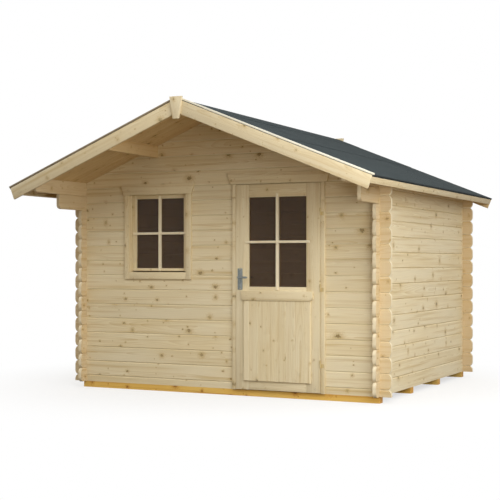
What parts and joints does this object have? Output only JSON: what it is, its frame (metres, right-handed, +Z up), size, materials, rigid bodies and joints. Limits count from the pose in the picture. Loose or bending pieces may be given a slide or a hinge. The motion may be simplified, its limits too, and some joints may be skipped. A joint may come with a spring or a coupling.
{
  "type": "garden house",
  "caption": "Hollow log garden house with interlocking corners, a felted gable roof reaching far over the front, a half glazed hinged door with a lever handle and a barred window",
  "frame": {"origin": "on the ground under the middle of the roof's box", "axes": "+X to the right along the front, +Y from the front to the back, +Z up"},
  "size_m": [3.3352, 3.466, 2.4601],
  "materials": {
    "pale_wood": "planed untreated spruce",
    "treated_wood": "pressure treated joists",
    "roof_felt": "grey mineral roofing felt",
    "white_edge": "pale painted lath",
    "glass": "clear glazing",
    "grey_metal": "blue grey coating",
    "zinc_metal": "pale yellow zinc plating"
  },
  "bodies": {
    "house": {"floor_joist_1": "treated_wood", "floor_joist_2": "treated_wood", "floor_joist_3": "treated_wood", "floor_joist_4": "treated_wood", "floor_boards": "pale_wood", "left_wall_logs": "pale_wood", "right_wall_logs": "pale_wood", "front_wall_left_logs": "pale_wood", "front_wall_right_logs": "pale_wood", "rear_wall_logs": "pale_wood", "front_gable_logs": "pale_wood", "rear_gable_logs": "pale_wood", "left_purlin": "pale_wood", "right_purlin": "pale_wood", "ridge_purlin": "pale_wood", "left_roof_deck": "pale_wood", "right_roof_deck": "pale_wood", "left_roof_felt": "roof_felt", "right_roof_felt": "roof_felt", "left_eave_fascia": "pale_wood", "right_eave_fascia": "pale_wood", "front_left_barge_board": "pale_wood", "front_right_barge_board": "pale_wood", "rear_left_barge_board": "pale_wood", "rear_right_barge_board": "pale_wood", "front_left_verge_lath": "white_edge", "front_right_verge_lath": "white_edge", "front_finial": "pale_wood", "rear_finial": "pale_wood", "door_left_jamb": "pale_wood", "door_right_jamb": "pale_wood", "door_head": "pale_wood", "door_threshold": "pale_wood", "door_header": "pale_wood", "door_fixed_hinges": "zinc_metal", "window_lining": "pale_wood", "window_sash": "pale_wood", "window_glass": "glass", "window_casing": "pale_wood", "window_header": "pale_wood"},
    "door": {"door_left_stile": "pale_wood", "door_right_stile": "pale_wood", "door_bottom_rail": "pale_wood", "door_lock_rail": "pale_wood", "door_top_rail": "pale_wood", "door_panel": "pale_wood", "door_drip_rail": "pale_wood", "door_glass": "glass", "door_handle_plates": "grey_metal", "door_moving_hinges": "zinc_metal"},
    "handle": {"door_handle_lever": "grey_metal"}
  },
  "joints": [
    {"name": "door_hinge", "type": "hinge", "parent": "house", "child": "door", "pos_m": [0.925, -0.965, 0.925], "axis": [0, 0, 1], "range_deg": [0, 110]},
    {"name": "handle_turn", "type": "hinge", "parent": "door", "child": "handle", "pos_m": [0.186, -0.941, 1.0065], "axis": [0, 1, 0], "range_deg": [0, 35], "stiffness_Nm_per_rad": 2}
  ]
}
